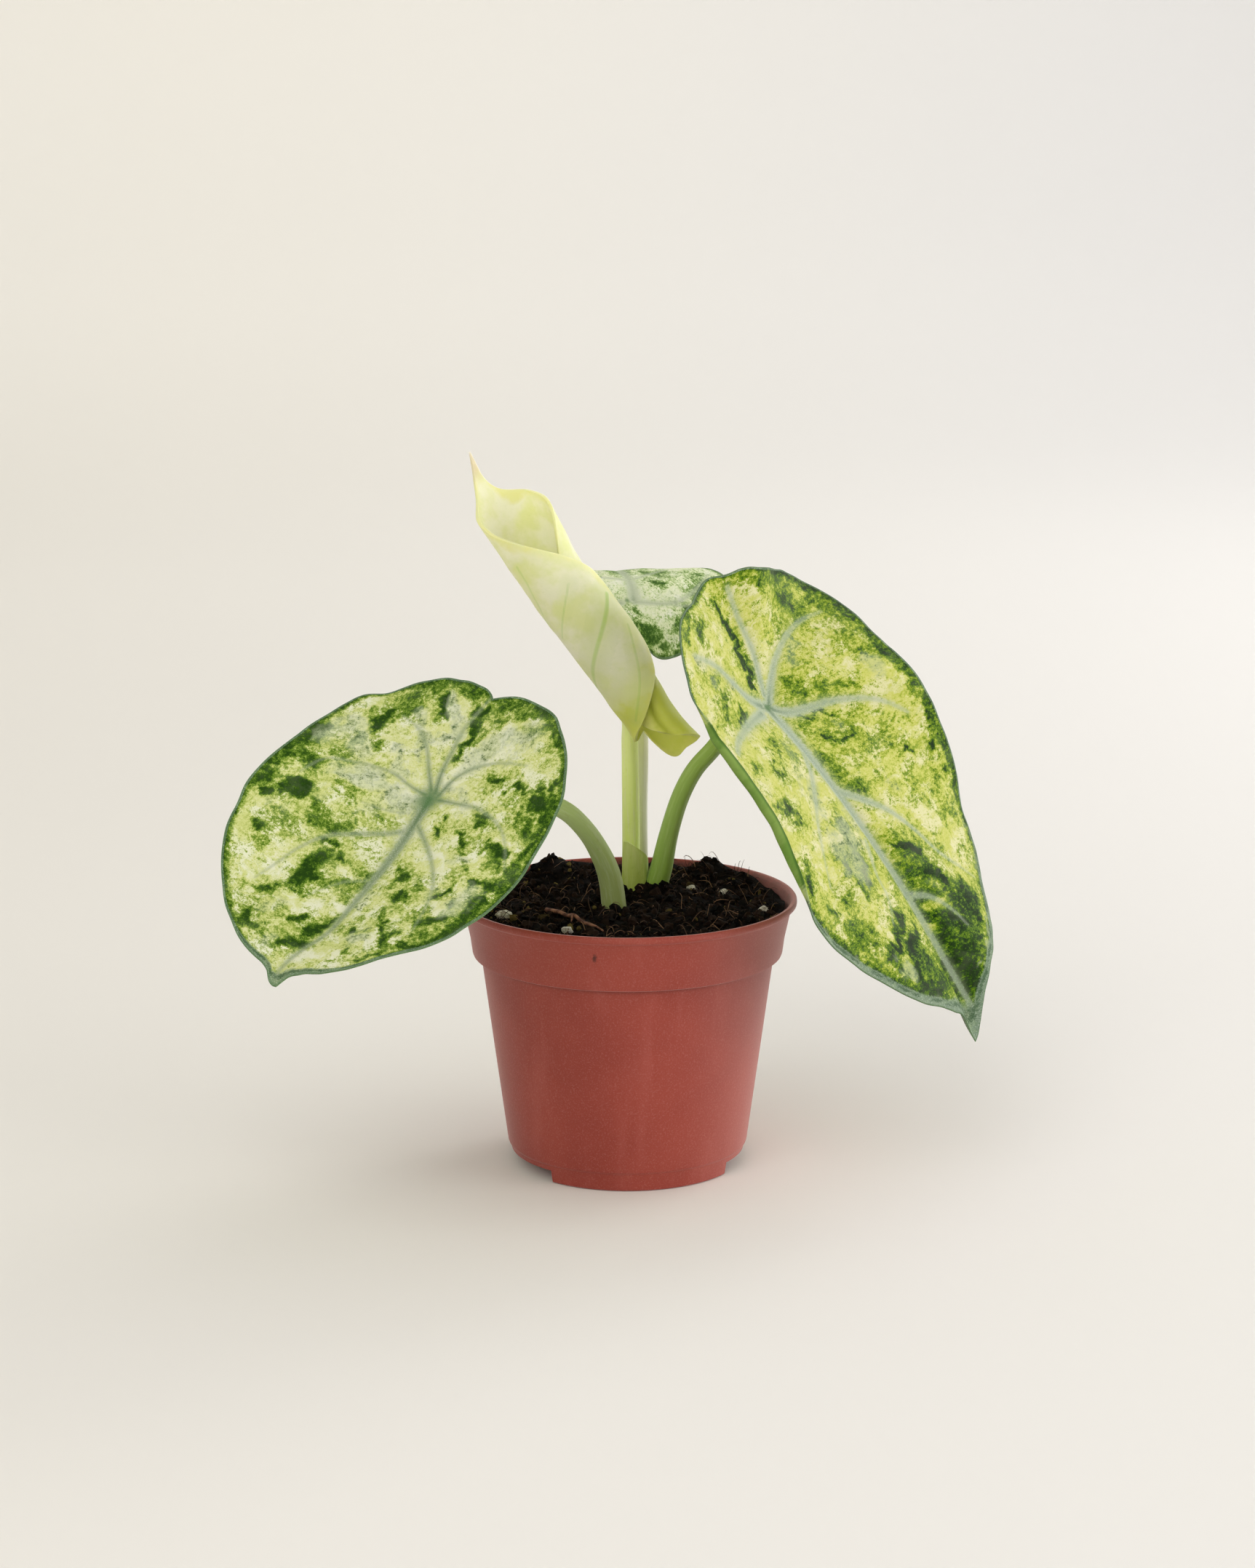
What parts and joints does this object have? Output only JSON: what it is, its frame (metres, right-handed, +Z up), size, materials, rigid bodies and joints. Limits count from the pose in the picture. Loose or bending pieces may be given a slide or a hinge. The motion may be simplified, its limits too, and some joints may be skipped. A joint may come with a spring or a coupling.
{
  "type": "potted alocasia plant",
  "caption": "Small potted aroid with cream and green marbled shield-shaped leaves and a rolled new leaf, in a round terracotta-coloured nursery pot of peat soil.",
  "frame": {"origin": "centre of the pot's foot circle, on the surface that the pot stands on", "axes": "+Z up along the pot's axis; the front of the plant looks along -Y; +X to the right of the front"},
  "size_m": [0.1332, 0.1223, 0.1256],
  "materials": {
    "pot": "matt moulded polypropylene, terracotta red, finely grained",
    "soil": "moist dark peat, crumbly",
    "leaf": "leathery leaf, satin, cream and green marbled with silvery veins",
    "young_leaf": "soft new leaf, cream to pale green, satin",
    "perlite": "white porous grain, dull",
    "root": "dry root fibre, dull"
  },
  "bodies": {
    "root": {"pot": "pot", "soil": "soil", "leaf_left": "leaf", "leaf_right": "leaf", "leaf_back": "leaf", "leaf_new_rolled": "young_leaf", "perlite_1": "perlite", "perlite_2": "perlite", "perlite_3": "perlite", "perlite_4": "perlite", "perlite_5": "perlite", "root_scrap": "root"}
  },
  "joints": []
}
